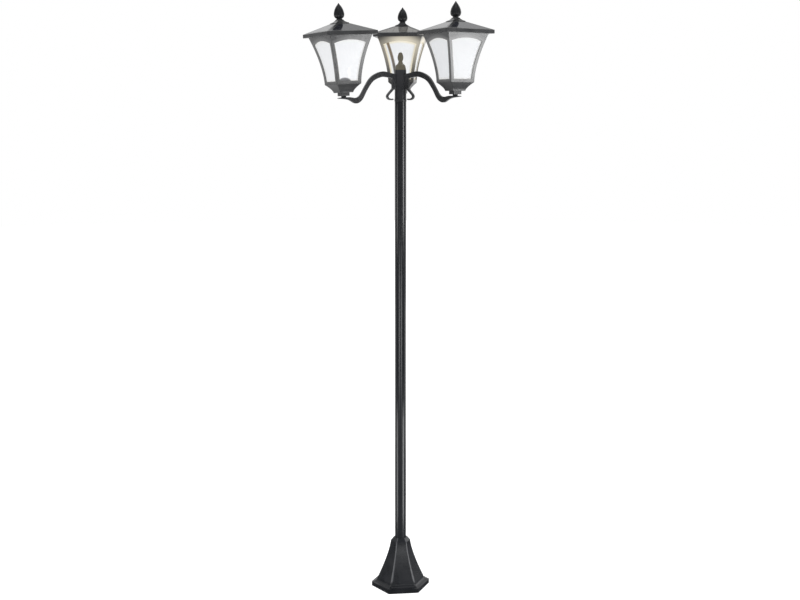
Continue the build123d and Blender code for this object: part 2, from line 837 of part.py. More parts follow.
with BuildPart() as battery:
    with BuildSketch(upright_plane(-battery_length / 2, battery_centre)):
        Circle(battery_radius)
    extrude(amount=battery_length)
    with BuildSketch(upright_plane(battery_length / 2, battery_centre)):
        Circle(battery_nub_radius)
    extrude(amount=battery_nub_length)

with BuildPart() as lens:
    with BuildSketch(Plane.XY.offset(box_base - lens_depth)):
        Circle(lens_radius)
    extrude(amount=lens_depth)
    fillet(lens.edges().group_by(Axis.Z)[0], lens_rounding)
    with BuildPart(mode=Mode.PRIVATE) as lens_room:
        with BuildSketch(Plane.XY.offset(box_base - lens_depth + lens_wall)):
            Circle(lens_radius - lens_wall)
        extrude(amount=lens_depth - lens_wall)
        fillet(lens_room.edges().group_by(Axis.Z)[0], lens_rounding - lens_wall)
    add(lens_room.part, mode=Mode.SUBTRACT)

with BuildPart() as switch:
    with BuildSketch(Plane.XY.offset(tray_top)):
        with Locations((0, switch_offset)):
            Rectangle(switch_plate_length, switch_plate_width)
    extrude(amount=switch_plate_thickness)
    with BuildSketch(Plane.XY.offset(tray_base - switch_drop)):
        with Locations((0, switch_offset)):
            Rectangle(switch_length, switch_width)
    extrude(amount=switch_drop + tray_thickness)

with BuildPart() as module_screws:
    with BuildSketch(Plane.XY.offset(tray_base - module_screw_head_height)):
        with GridLocations(2 * module_screw_offset, 2 * module_screw_offset, 2, 2):
            Circle(module_screw_head)
    extrude(amount=module_screw_head_height)
    with BuildSketch(Plane.XY.offset(tray_base)):
        with GridLocations(2 * module_screw_offset, 2 * module_screw_offset, 2, 2):
            Circle(module_screw_radius)
    extrude(amount=tray_thickness + (boss_top - tray_top) * 0.6)

# ================================================================ three lanterns on their arms
lantern_pieces = {
    "neck": neck,
    "cup": cup,
    "frame": frame,
    "shade": shade,
    "roof": roof,
    "solar_panels": solar_panels,
    "roof_cap": roof_cap,
    "finial": finial,
    "light_housing": light_housing,
    "circuit_board": circuit_board,
    "battery": battery,
    "lens": lens,
    "switch": switch,
    "module_screws": module_screws,
}
for side, seat in seats.items():
    turned_seat = seat * Rot(0, 0, lantern_turns[side])
    for name, piece in lantern_pieces.items():
        with BuildPart() as placed_piece:
            add(piece.part.moved(turned_seat))
        save(placed_piece, f"{side}_{name}")
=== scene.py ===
from math import cos, exp, pi, radians, sin, sqrt

import bmesh
import bpy
from mathutils import Euler, Matrix, Vector


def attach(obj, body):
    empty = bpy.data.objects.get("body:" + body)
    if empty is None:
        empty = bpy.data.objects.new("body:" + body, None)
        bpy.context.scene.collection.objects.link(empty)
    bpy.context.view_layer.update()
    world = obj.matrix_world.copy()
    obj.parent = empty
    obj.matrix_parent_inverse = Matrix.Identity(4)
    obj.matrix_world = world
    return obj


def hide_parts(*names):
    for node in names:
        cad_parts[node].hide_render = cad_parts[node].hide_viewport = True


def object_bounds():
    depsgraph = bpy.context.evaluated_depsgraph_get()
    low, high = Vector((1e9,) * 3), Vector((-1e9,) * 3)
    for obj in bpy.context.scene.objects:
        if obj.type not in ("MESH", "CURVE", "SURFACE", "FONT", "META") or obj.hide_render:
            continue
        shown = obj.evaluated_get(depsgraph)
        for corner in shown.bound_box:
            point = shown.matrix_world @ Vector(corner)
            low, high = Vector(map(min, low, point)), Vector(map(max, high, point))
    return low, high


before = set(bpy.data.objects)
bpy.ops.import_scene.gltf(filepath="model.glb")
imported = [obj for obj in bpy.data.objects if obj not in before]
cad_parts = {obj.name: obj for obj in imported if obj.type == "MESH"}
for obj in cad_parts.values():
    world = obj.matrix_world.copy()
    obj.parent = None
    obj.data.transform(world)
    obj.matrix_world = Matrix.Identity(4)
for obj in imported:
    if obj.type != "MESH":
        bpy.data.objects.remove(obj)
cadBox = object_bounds()
print("frame loaded:", len(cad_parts), "nodes")

scene = bpy.context.scene
scene.view_settings.view_transform = "Standard"
mm = 0.001
white = (1.0, 1.0, 1.0)

# the lamp's own sizes in millimetres and degrees, as the solid pieces have them
lamp = {
    "reach": 190.5,       # post to lantern centre
    "seat": 1556.0,       # height of a lantern's seat on a level arm
    "azimuth": {"right": -30.0, "left": 210.0, "rear": 90.0},
    "turn": {"right": -28.0, "left": 2.0, "rear": -6.0},
    "lean": {"right": 0.0, "left": 3.2, "rear": 0.0},
    "drop": {"right": 0.0, "left": 4.8, "rear": -9.0},
}
lantern = {
    "bodyBase": 38.0,
    "bodyHeight": 139.5,
    "lowHalf": 40.5,      # half width of the body, low and high
    "highHalf": 70.0,
    "curve": 1.65,        # power of the hollow flare
    "stile": 9.8,
    "sill": 47.0,
    "corner": 155.0,      # upper corners of the windows
    "cornerHalf": 52.8,
    "arch": 9.5,
    "capTop": 224.5,
}


def seatMatrix(side):
    # a lantern's own frame: its seat on the arm, leaned with the arm and turned on its stud
    azimuth, lean, turn = (radians(lamp[key][side]) for key in ("azimuth", "lean", "turn"))
    height = lamp["seat"] - lamp["drop"][side]
    place = Vector((lamp["reach"] * cos(azimuth), lamp["reach"] * sin(azimuth), height))
    leaned = Matrix.Rotation(azimuth, 4, "Z") @ Matrix.Rotation(lean, 4, "Y")
    return Matrix.Translation(place * mm) @ (leaned @ Matrix.Rotation(turn, 4, "Z"))


sides = {side: seatMatrix(side) for side in ("right", "left", "rear")}


class Value:
    # a shader socket that works in expressions: each operator adds a Math node
    def __init__(self, finish, socket):
        self.finish = finish
        self.socket = socket

    def __add__(self, other):
        return self.finish.calc("ADD", self, other)

    __radd__ = __add__

    def __sub__(self, other):
        return self.finish.calc("SUBTRACT", self, other)

    def __rsub__(self, other):
        return self.finish.calc("SUBTRACT", other, self)

    def __mul__(self, other):
        return self.finish.calc("MULTIPLY", self, other)

    __rmul__ = __mul__

    def __truediv__(self, other):
        return self.finish.calc("DIVIDE", self, other)

    def __rtruediv__(self, other):
        return self.finish.calc("DIVIDE", other, self)

    def __pow__(self, other):
        return self.finish.calc("POWER", self, other)

    def __rpow__(self, other):
        return self.finish.calc("POWER", other, self)

    def __abs__(self):
        return self.finish.calc("ABSOLUTE", self)

    def atLeast(self, other):
        return self.finish.calc("MAXIMUM", self, other)


class Finish:
    # one material, or the world, and its node tree
    def __init__(self, name, store=bpy.data.materials):
        self.owner = store.new(name)
        self.owner.use_nodes = True
        self.tree = self.owner.node_tree
        self.tree.nodes.clear()

    def node(self, kind, settings=None, inputs=None, output=0):
        # its settings first, then the values or links of its sockets
        made = self.tree.nodes.new(kind)
        for key, value in (settings or {}).items():
            setattr(made, key, value)
        for key, value in (inputs or {}).items():
            socket = made.inputs[key]
            if isinstance(value, Value):
                self.tree.links.new(value.socket, socket)
            else:
                socket.default_value = (*value, 1.0) if socket.type == "RGBA" else value
        return Value(self, made.outputs[output]) if made.outputs else None

    def calc(self, operation, first, second=0.0):
        return self.node("ShaderNodeMath", {"operation": operation}, {0: first, 1: second})

    def point(self, matrix=None):
        # object coordinates in metres, or those of a lantern's own frame
        place = self.node("ShaderNodeTexCoord", output=3)
        if matrix is None:
            return place
        inputs = {"Vector": place, "Location": matrix.to_translation(), "Rotation": matrix.to_euler()}
        return self.node("ShaderNodeMapping", {"vector_type": "TEXTURE"}, inputs)

    def split(self, place):
        axes = self.node("ShaderNodeSeparateXYZ", inputs={0: place})
        return [Value(self, output) for output in axes.socket.node.outputs]

    def noise(self, place, scale, detail=2.0, rough=0.5):
        inputs = {"Vector": place, "Scale": scale, "Detail": detail, "Roughness": rough}
        return self.node("ShaderNodeTexNoise", inputs=inputs)

    def spread(self, value, low, high, newLow=0.0, newHigh=1.0):
        inputs = {0: value, 1: low, 2: high, 3: newLow, 4: newHigh}
        return self.node("ShaderNodeMapRange", {"interpolation_type": "SMOOTHSTEP"}, inputs)

    def vary(self, noise, low=0.0, high=1.0):
        # a noise drawn out to reach both limits
        return self.spread(noise, 0.3, 0.7, low, high)

    def blend(self, factor, first, second):
        inputs = {0: factor, 6: first, 7: second}
        return self.node("ShaderNodeMix", {"data_type": "RGBA"}, inputs, output=2)

    def bump(self, height, strength, depth, normal=None):
        inputs = {"Height": height, "Strength": strength, "Distance": depth}
        if normal is not None:
            inputs["Normal"] = normal
        return self.node("ShaderNodeBump", inputs=inputs)

    def lanternPlace(self, place):
        # x, y and z of a point in a lantern's own frame, and how far along its side it lies
        x, y, z = self.split(place)
        onSide = self.spread(abs(x) - abs(y), -0.0001, 0.0001)
        return x, y, z, x * (1.0 - onSide) + y * onSide

    def surface(self, inputs):
        self.close(self.node("ShaderNodeBsdfPrincipled", inputs=inputs))
        return self

    def close(self, shader):
        self.node("ShaderNodeOutputMaterial", inputs={"Surface": shader})


def paint(names, finish):
    for name in names:
        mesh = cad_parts[name].data
        mesh.materials.clear()
        mesh.materials.append(finish.owner)
        for polygon in mesh.polygons:
            polygon.material_index = 0


camera = {
    "azimuth": 2.0,       # degrees to the right of straight ahead of the rear arm
    "distance": 3.615,
    "height": 1.483,
    "down": 8.7,          # degrees
    "sensor": 36.0,
    "picture": 800.0,     # pixels across
    "focal": 1172.0,      # pixels
    "centre": 400.5,      # pixel column of the post
}
across = radians(camera["azimuth"])
away = camera["distance"]
cameraData = bpy.data.cameras.new("camera")
cameraData.sensor_width = camera["sensor"]
cameraData.lens = camera["focal"] * camera["sensor"] / camera["picture"]
cameraData.shift_x = (camera["picture"] / 2 - camera["centre"]) / camera["picture"]
cameraData.clip_end = 100.0
view = bpy.data.objects.new("camera", cameraData)
view.location = (away * sin(across), -away * cos(across), camera["height"])
view.rotation_euler = Euler((radians(90.0 - camera["down"]), 0.0, across))
scene.collection.objects.link(view)
scene.camera = view
print("camera placed")

# in every finish: textures count per metre, a bump is its strength and its depth in metres
resinLook = {
    "color": (0.014, 0.015, 0.017),
    "paleColor": (0.020, 0.021, 0.024),
    "index": 1.5,
    "roughness": (0.26, 0.36),
    "cloud": 22.0,        # patches of the paler colour
    "grain": 1400.0,      # moulding texture
    "grainBump": (0.5, 0.00004),
    "wave": 60.0,         # slow waves in the gloss
    "waveBump": (0.25, 0.0004),
}


def resinFinish(name, look, glow=None, worn=None):
    # moulded plastic: faint mottling, a fine matt grain and slow waves in the gloss
    finish = Finish(name)
    place = finish.point()
    cloud = finish.noise(place, look["cloud"], 3.0)
    grain = finish.noise(place, look["grain"], 2.0, 0.6)
    waves = finish.bump(finish.noise(place, look["wave"], 1.0), *look["waveBump"])
    color = finish.blend(finish.spread(cloud, 0.3, 0.75), look["color"], look["paleColor"])
    # a painted highlight laid over the mottling, where one is given
    if worn:
        color = finish.blend(worn(finish), color, look["highlightColor"])
    return finish.surface({
        "Base Color": color,
        "Roughness": finish.spread(cloud * 0.6 + grain * 0.4, 0.35, 0.65, *look["roughness"]),
        "IOR": look["index"],
        "Normal": finish.bump(grain, *look["grainBump"], waves),
        **(glow(finish) if glow else {}),
    })


blackResin = resinFinish("black_resin", resinLook)

# paler than the black resin: a painted sheen on the lantern pieces and cups
lanternLook = {
    **resinLook,
    "color": (0.042, 0.043, 0.045),
    "paleColor": (0.056, 0.057, 0.059),
    "index": 1.60,
    "roughness": (0.20, 0.29),
}
lanternResin = resinFinish("lantern_resin", lanternLook)

cupLook = {**lanternLook, "index": 1.5, "roughness": (0.32, 0.40), "grainBump": (0.5, 0.00001)}
cupResin = resinFinish("cup_resin", cupLook)

footLook = {
    **resinLook,
    "color": (0.009, 0.010, 0.012),
    "paleColor": (0.014, 0.015, 0.018),
    "highlightColor": (0.075, 0.077, 0.082),
    "index": 1.36,
    "roughness": (0.25, 0.34),
    "grain": 900.0,
    "grainBump": (0.5, 0.00005),
    "turn": 9.0,          # degrees that the foot stands turned
    "highlightFrom": (0.026, 0.036),   # heights between which the painted highlight sets in
    "wornEdge": (0.43, 0.487),    # and how far from a face's middle, as a share of its angle
}


def ridgeHighlight(finish):
    # the six upright ridges of the foot, painted a little paler as a highlight
    x, y, z = finish.split(finish.point())
    turn = finish.calc("ARCTAN2", y, x) - radians(footLook["turn"])
    share = finish.calc("FRACT", turn / radians(60.0))
    worn = finish.spread(abs(share - 0.5), *footLook["wornEdge"])
    return worn * finish.spread(z, *footLook["highlightFrom"])


footResin = resinFinish("foot_resin", footLook, worn=ridgeHighlight)

knobLook = {
    **resinLook,
    "color": (0.010, 0.011, 0.012),
    "paleColor": (0.014, 0.015, 0.016),
    "index": 1.36,
    "roughness": (0.55, 0.65),
    "grain": 700.0,
    "grainBump": (0.5, 0.00001),
}
knobResin = resinFinish("knob_resin", knobLook)

# paler than the black resin: a painted sheen on the hub
hubLook = {**resinLook, "color": (0.024, 0.025, 0.028), "paleColor": (0.036, 0.037, 0.041)}
hubResin = resinFinish("hub_resin", hubLook)

switchLook = {**resinLook, "color": (0.03, 0.03, 0.033), "roughness": (0.2, 0.3)}
switchResin = resinFinish("switch_resin", switchLook)

# the ball on top turns paler and warmer than the foot: painted warm light from the glowing rear lantern
capLook = {
    "footColor": (0.020, 0.020, 0.021),
    "ballGlowColor": (0.150, 0.136, 0.098),
    "rise": (1.585, 1.640),   # heights between which the one turns into the other
    "riseShift": 0.01,        # how far the mottling moves them
    "roughness": (0.3, 0.4),
    "mottle": 90.0,
    "mottleBump": (0.2, 0.0004),
}
hubCapResin = Finish("hub_cap_resin")
place = hubCapResin.point()
height = hubCapResin.split(place)[2]
mottle = hubCapResin.noise(place, capLook["mottle"], 3.0)
rise = hubCapResin.spread(height + mottle * capLook["riseShift"], *capLook["rise"])
hubCapResin.surface({
    "Base Color": hubCapResin.blend(rise, capLook["footColor"], capLook["ballGlowColor"]),
    "Roughness": hubCapResin.vary(mottle, *capLook["roughness"]),
    "Normal": hubCapResin.bump(mottle, *capLook["mottleBump"]),
})

steelLook = {
    "color": (0.011, 0.012, 0.014),
    "paleColor": (0.015, 0.016, 0.019),
    "index": 1.5,
    "roughness": (0.18, 0.26),
    "cloud": 9.0,         # patches of the paler colour
    "speck": 2600.0,      # specks in the gloss
    "peel": 420.0,        # orange peel of the coating
    "peelBump": (0.18, 0.0003),
}
postSteel = Finish("coated_steel")
place = postSteel.point()
cloud = postSteel.noise(place, steelLook["cloud"], 3.0)
speck = postSteel.noise(place, steelLook["speck"], 1.0)
peel = postSteel.noise(place, steelLook["peel"], 2.0, 0.55)
postSteel.surface({
    "Base Color": postSteel.blend(postSteel.vary(cloud), steelLook["color"], steelLook["paleColor"]),
    "Roughness": postSteel.vary(speck, *steelLook["roughness"]),
    "IOR": steelLook["index"],
    "Normal": postSteel.bump(peel, *steelLook["peelBump"]),
})

zincLook = {
    "color": (0.58, 0.58, 0.56),
    "dullColor": (0.46, 0.47, 0.47),
    "roughness": (0.22, 0.42),
    "spangle": 500.0,
    "spangleBump": (0.2, 0.0001),
}
zincSteel = Finish("zinc_steel")
spangle = zincSteel.noise(zincSteel.point(), zincLook["spangle"], 3.0, 0.7)
zincSteel.surface({
    "Base Color": zincSteel.blend(spangle, zincLook["color"], zincLook["dullColor"]),
    "Metallic": 1.0,
    "Roughness": zincSteel.vary(spangle, *zincLook["roughness"]),
    "Normal": zincSteel.bump(spangle, *zincLook["spangleBump"]),
})

lensLook = {
    "color": (0.88, 0.90, 0.90),
    "roughness": (0.12, 0.2),
    "index": 1.49,
    "alpha": 0.45,
    "frost": 900.0,
    "ripple": 1100.0,
    "rippleBump": (0.15, 0.0002),
}
lensResin = Finish("clear_resin")
place = lensResin.point()
frost = lensResin.noise(place, lensLook["frost"])
ripple = lensResin.noise(place, lensLook["ripple"])
lensResin.surface({
    "Base Color": lensLook["color"],
    "Roughness": lensResin.vary(frost, *lensLook["roughness"]),
    "IOR": lensLook["index"],
    "Alpha": lensLook["alpha"],
    "Normal": lensResin.bump(ripple, *lensLook["rippleBump"]),
})

sleeveLook = {
    "color": (0.05, 0.25, 0.16),
    "paleColor": (0.07, 0.30, 0.19),
    "roughness": (0.25, 0.35),
    "coat": 0.5,
    "crease": 160.0,
    "creaseBump": (0.15, 0.0002),
}
sleeveResin = Finish("battery_sleeve")
crease = sleeveResin.noise(sleeveResin.point(), sleeveLook["crease"])
pale = sleeveResin.spread(crease, 0.4, 0.6)
sleeveResin.surface({
    "Base Color": sleeveResin.blend(pale, sleeveLook["color"], sleeveLook["paleColor"]),
    "Roughness": sleeveResin.vary(crease, *sleeveLook["roughness"]),
    "Coat Weight": sleeveLook["coat"],
    "Normal": sleeveResin.bump(crease, *sleeveLook["creaseBump"]),
})

boardLook = {
    "color": (0.02, 0.13, 0.06),
    "paleColor": (0.035, 0.22, 0.10),
    "roughness": (0.3, 0.45),
    "track": 260.0,
    "trackBump": (0.2, 0.0001),
}
boardLaminate = Finish("board_laminate")
inputs = {"Vector": boardLaminate.point(), "Scale": boardLook["track"]}
track = boardLaminate.node("ShaderNodeTexVoronoi", {"distance": "CHEBYCHEV"}, inputs)
pale = boardLaminate.spread(track, 0.2, 0.3)
boardLaminate.surface({
    "Base Color": boardLaminate.blend(pale, boardLook["color"], boardLook["paleColor"]),
    "Roughness": boardLaminate.spread(track, 0.1, 0.5, *boardLook["roughness"]),
    "Normal": boardLaminate.bump(track, *boardLook["trackBump"]),
})
print("plain finishes made")


def besideWindow(along, z):
    # how far beside a window's upright edge a point on a lantern's side lies, in metres
    share = ((z - lantern["bodyBase"] * mm) / (lantern["bodyHeight"] * mm)).atLeast(0.0)
    widening = (lantern["highHalf"] - lantern["lowHalf"]) * mm
    half = share ** lantern["curve"] * widening + (lantern["lowHalf"] - lantern["stile"]) * mm
    return abs(along) - half


def pastWindow(along, z):
    # the same past any of its edges, the arched top and the sill too
    sag = (along / (lantern["cornerHalf"] * mm)) ** 2.0
    top = (lantern["corner"] + lantern["arch"]) * mm - sag * (lantern["arch"] * mm)
    return besideWindow(along, z).atLeast(z - top).atLeast(lantern["sill"] * mm - z)


# painted light in a lantern's panes, and the painted spill of it on the frame round a window
plainGlow = {
    "armPanes": 1.0,      # share of the glow on the two panes that look along the arm
    "edgeColor": (1.0, 0.99, 0.95),
    "edgeWidth": 0.009,
    "spillColor": (1.0, 1.0, 0.98),
    "spillReach": 0.014,
    "spillFoot": 1.0,     # share of it left at the sill
    "spillRise": (0.05, 0.165),   # heights between which it grows to the whole
    "spillMiddle": 0.0,   # its brightest place along the side
    "spillSide": 1.0,     # share of it left at the corners
    "spillFall": (0.01, 0.08),    # distances between which it falls to that
}
glowLook = {
    "right": {
        **plainGlow,
        "pane": 0.44,
        "armPanes": 0.60,
        "color": (0.96, 0.975, 1.0),
        "spill": 0.08,
    },
    "left": {
        **plainGlow,
        "pane": 0.45,
        "color": (0.97, 0.98, 1.0),
        "spill": 0.06,
    },
    "rear": {
        **plainGlow,
        "pane": 0.52,
        "color": (0.96, 0.98, 1.0),
        "edgeColor": (1.0, 0.86, 0.52),
        "spill": 0.62,
        "spillColor": (1.0, 0.91, 0.72),
        "spillReach": 0.034,
        "spillFoot": 0.06,
        "spillMiddle": -0.016,
        "spillSide": 0.35,
    },
}


def frameFinish(side, matrix):
    # lantern resin with a painted glow of the pane fading outwards over it
    glow = glowLook[side]

    def spill(finish):
        _, _, z, along = finish.lanternPlace(finish.point(matrix))
        beside = abs(along - glow["spillMiddle"])
        near = finish.spread(pastWindow(along, z), 0.0, glow["spillReach"], 1.0, 0.0)
        near = near * finish.spread(z, *glow["spillRise"], glow["spillFoot"], 1.0)
        near = near * finish.spread(beside, *glow["spillFall"], 1.0, glow["spillSide"])
        color = finish.blend(near, (0.0, 0.0, 0.0), glow["spillColor"])
        return {"Emission Color": color, "Emission Strength": glow["spill"]}

    return resinFinish(f"{side}_frame_resin", lanternLook, glow=spill)


shadeLook = {
    "color": (0.51, 0.52, 0.53),
    "cloudColor": (0.46, 0.465, 0.475),
    "roughness": 0.42,
    "streak": (260.0, 3.0),   # across and up
    "streakBump": (0.12, 0.0003),
    "cloud": 18.0,
    "dim": 0.84,          # share of the glow in the darkest streaks
    "fall": (0.03, 0.17),     # heights between which the glow falls
    "high": 0.93,         # to this share
    # on the left lantern's front pane: place and half size, along and up
    "dome": (0.013, 0.046, 0.021, 0.011),       # shadow of the dome inside
    "glare": (-0.002, 0.071, 0.0042, 0.015),   # and a painted bright glare over it
    "markEdge": (0.6, 1.3),   # where they start to fade and are gone, as squared shares of that size
    "domeShadowColor": (0.10, 0.10, 0.11),
    "domeShade": 0.85,
    "glareGlow": 0.3,
    # on one half of each of the rear lantern's panes: shadow of a far stile
    "stileInset": 0.015,      # in from the window's edge
    "stileHalf": 0.0042,
    "stileEdge": (0.6, 1.5),  # where it starts to fade and is gone, in half widths
    "stileShade": 0.6,
    "stileCover": 0.9,
    "stileTurn": (0.06, 0.15),    # heights between which its low colours turn into its high ones
    "stileColor": ((0.04, 0.04, 0.04), (0.13, 0.09, 0.05)),
    "stileGlow": ((0.06, 0.06, 0.05), (0.40, 0.28, 0.13)),
}


def spot(finish, along, z, mark):
    # soft oval mark on a pane
    middle, height, halfWide, halfHigh = mark
    reach = ((along - middle) / halfWide) ** 2.0 + ((z - height) / halfHigh) ** 2.0
    return finish.spread(reach, *shadeLook["markEdge"], 1.0, 0.0)


def shadeFinish(side, matrix):
    # frosted resin: cloudy white with fine upright streaks, with a soft painted glow in it
    finish = Finish(f"{side}_frosted_shade")
    look, glow = shadeLook, glowLook[side]
    place = finish.point(matrix)
    x, y, z, along = finish.lanternPlace(place)
    wide, high = look["streak"]
    streakPlace = finish.node("ShaderNodeCombineXYZ", inputs={0: x * wide, 1: y * wide, 2: z * high})
    streak = finish.noise(streakPlace, 1.0, 3.0, 0.6)
    cloud = finish.noise(place, look["cloud"])
    cloudy = finish.spread(streak * 0.55 + cloud * 0.45, 0.3, 0.75)
    color = finish.blend(cloudy, look["color"], look["cloudColor"])
    edge = finish.spread(pastWindow(along, z), -glow["edgeWidth"], -0.001)
    tone = finish.blend(edge, glow["color"], glow["edgeColor"])
    level = finish.spread(streak * 0.6 + cloud * 0.4, 0.35, 0.65, look["dim"], 1.0)
    level = level * finish.spread(z, *look["fall"], 1.0, look["high"])
    level = level * finish.spread(abs(y) - abs(x), -0.001, 0.001, glow["armPanes"], 1.0)
    # left lantern's front pane: a painted shadow of the dome inside and a painted glare over it
    if side == "left":
        front = finish.spread(y - abs(x), 0.0, 0.002)
        dome = spot(finish, along, z, look["dome"]) * front
        glare = spot(finish, along, z, look["glare"]) * front
        level = level * (1.0 - dome * look["domeShade"]) + glare * look["glareGlow"]
        color = finish.blend(dome, color, look["domeShadowColor"])
    if side == "rear":
        beside = abs(besideWindow(along, z) + look["stileInset"])
        near, far = (look["stileHalf"] * part for part in look["stileEdge"])
        stile = finish.spread(beside, near, far, 1.0, 0.0) * finish.spread(along, -0.001, 0.001)
        height = finish.spread(z, *look["stileTurn"])
        cover = stile * look["stileCover"]
        level = level * (1.0 - stile * look["stileShade"])
        color = finish.blend(cover, color, finish.blend(height, *look["stileColor"]))
        tone = finish.blend(cover, tone, finish.blend(height, *look["stileGlow"]))
    return finish.surface({
        "Base Color": color,
        "Roughness": look["roughness"],
        "Emission Color": finish.node("ShaderNodeVectorMath", {"operation": "SCALE"}, {0: tone, 3: level}),
        "Emission Strength": glow["pane"],
        "Normal": finish.bump(streak, *look["streakBump"]),
    })


panelLook = {
    "cell": (0.018, 0.019, 0.024),
    "paleCell": (0.024, 0.026, 0.036),
    "line": (0.30, 0.32, 0.34),
    "border": (0.02, 0.02, 0.022),
    "index": 1.5,
    "roughness": (0.05, 0.09),
    "cellPitch": 0.0205,
    "gapWidth": (0.0003, 0.0005),     # from its middle: where it starts to fade and is gone
    "linePitch": 0.0068,
    "lineWidth": (0.00012, 0.00022),
    "lineCover": 0.5,
    "grain": 140.0,
    "wave": 30.0,
    "waveBump": (0.05, 0.0004),
}
# the rear lantern's cells painted pale: a painted reflection of the bright surroundings
glaredPanelLook = {**panelLook, "cell": (0.17, 0.167, 0.158), "paleCell": (0.21, 0.206, 0.195)}


def panelFinish(side, matrix, look):
    # cells under glass: squares with thin silver lines, cut at the sloping edges
    finish = Finish(f"{side}_solar_cells")
    place = finish.point(matrix)
    x, y, _, along = finish.lanternPlace(place)

    def beside(distance, pitch, width):
        # 0 on the nearest of many parallel lines, 1 beside it
        return finish.spread(finish.calc("PINGPONG", distance, pitch / 2), *width)

    out = abs(x).atLeast(abs(y))
    cellAlong, cellOut = (beside(part, look["cellPitch"], look["gapWidth"]) for part in (along, out))
    line = 1.0 - beside(along, look["linePitch"], look["lineWidth"])
    grain = finish.noise(place, look["grain"], 4.0, 0.7)
    cell = finish.blend(finish.spread(grain, 0.35, 0.7), look["cell"], look["paleCell"])
    lined = finish.blend(line * look["lineCover"], cell, look["line"])
    return finish.surface({
        "Base Color": finish.blend(1.0 - cellAlong * cellOut, lined, look["border"]),
        "Roughness": finish.vary(grain, *look["roughness"]),
        "IOR": look["index"],
        "Normal": finish.bump(finish.noise(place, look["wave"], 1.0), *look["waveBump"]),
    })


paint(["hub"], hubResin)
paint(["hub_cap"], hubCapResin)
paint(["right_arm", "left_arm", "rear_arm"], blackResin)
paint(["base_cover"], footResin)
paint(["swivel_knobs"], knobResin)
paint(["anchor_plate", "post_socket", "post_joiners"], postSteel)
paint(["post_lower", "post_middle", "post_upper"], postSteel)
paint(["post_screws", "arm_screws", "swivel_studs"], zincSteel)
for side, matrix in sides.items():
    panel = glaredPanelLook if side == "rear" else panelLook
    paint([f"{side}_{piece}" for piece in ("roof", "roof_cap", "finial", "light_housing")], lanternResin)
    paint([f"{side}_frame"], frameFinish(side, matrix))
    paint([f"{side}_shade"], shadeFinish(side, matrix))
    paint([f"{side}_solar_panels"], panelFinish(side, matrix, panel))
    paint([f"{side}_cup"], cupResin)
    paint([f"{side}_neck"], knobResin)
    paint([f"{side}_module_screws"], zincSteel)
    paint([f"{side}_lens"], lensResin)
    paint([f"{side}_battery"], sleeveResin)
    paint([f"{side}_circuit_board"], boardLaminate)
    paint([f"{side}_switch"], switchResin)
print("lamp post painted")

# a pointed bud in two rows of upright leaves, in millimetres
finial = {
    "leaves": 6,
    "leafFoot": 3.8,      # height at which the leaves start
    "leafLift": 0.9,
    # each row's turn in leaf pitches, how much of the height its tips reach, and its share of the lift
    "rows": ((0.0, 0.86, 1.0), (0.5, 1.02, 0.35)),
    "shoulder": 0.07,     # width over which a leaf's edge rises, in leaf pitches
    "rim": 0.45,          # bead along a leaf's edge
    "rimPlace": 1.4,      # in from that edge, in shoulders
    "fullLeaf": 8.0,      # radius of the bud below which the leaves flatten
    "leastRadius": 0.15,
    "rings": 120,
    "segments": 168,
    # height above the cap, and radius
    "profile": (
        (-1.5, 9.0), (0.0, 9.0), (0.0, 10.2), (0.9, 10.4), (1.3, 9.9), (2.2, 9.2),
        (3.4, 9.3), (4.6, 10.6), (6.0, 12.4), (8.0, 13.9), (10.5, 15.0), (13.5, 15.5),
        (16.5, 15.5), (20.0, 15.0), (23.5, 14.2), (27.0, 13.0), (30.5, 11.5), (34.0, 9.6),
        (37.5, 7.5), (41.0, 5.3), (44.0, 3.3), (46.3, 1.6), (47.6, 0.6), (48.0, 0.0),
    ),
}


def alongProfile(points, count):
    # evenly spaced points on a run of (height, radius) pairs
    lengths = [0.0]
    for (z0, r0), (z1, r1) in zip(points, points[1:]):
        lengths.append(lengths[-1] + sqrt((z1 - z0) ** 2 + (r1 - r0) ** 2))
    found = []
    step = 0
    for index in range(count):
        want = lengths[-1] * index / (count - 1)
        while step < len(points) - 2 and lengths[step + 1] < want:
            step += 1
        share = (want - lengths[step]) / max(lengths[step + 1] - lengths[step], 1e-9)
        (z0, r0), (z1, r1) = points[step], points[step + 1]
        found.append((z0 + (z1 - z0) * share, r0 + (r1 - r0) * share))
    return found


def leafRelief(turn, share):
    # how far a leaf stands proud at this angle and share of the bud's height
    if not 0.0 < share < 1.0:
        return 0.0
    pitch = 2 * pi / finial["leaves"]
    relief = 0.0
    for shift, tip, lift in finial["rows"]:
        offset = (turn + pitch * shift) % pitch - pitch / 2
        reach = share / tip
        if reach >= 1.0:
            continue
        width = pitch * 0.5 * (1.0 - reach ** 3.0)
        inside = (width - abs(offset)) / (pitch * finial["shoulder"])
        edge = max(0.0, min(1.0, inside))
        bead = exp(-((inside - finial["rimPlace"]) ** 2)) * finial["rim"] / finial["leafLift"]
        height = edge * edge * (3 - 2 * edge) * lift
        relief = max(relief, height * (1.0 + bead))
    return relief * finial["leafLift"]


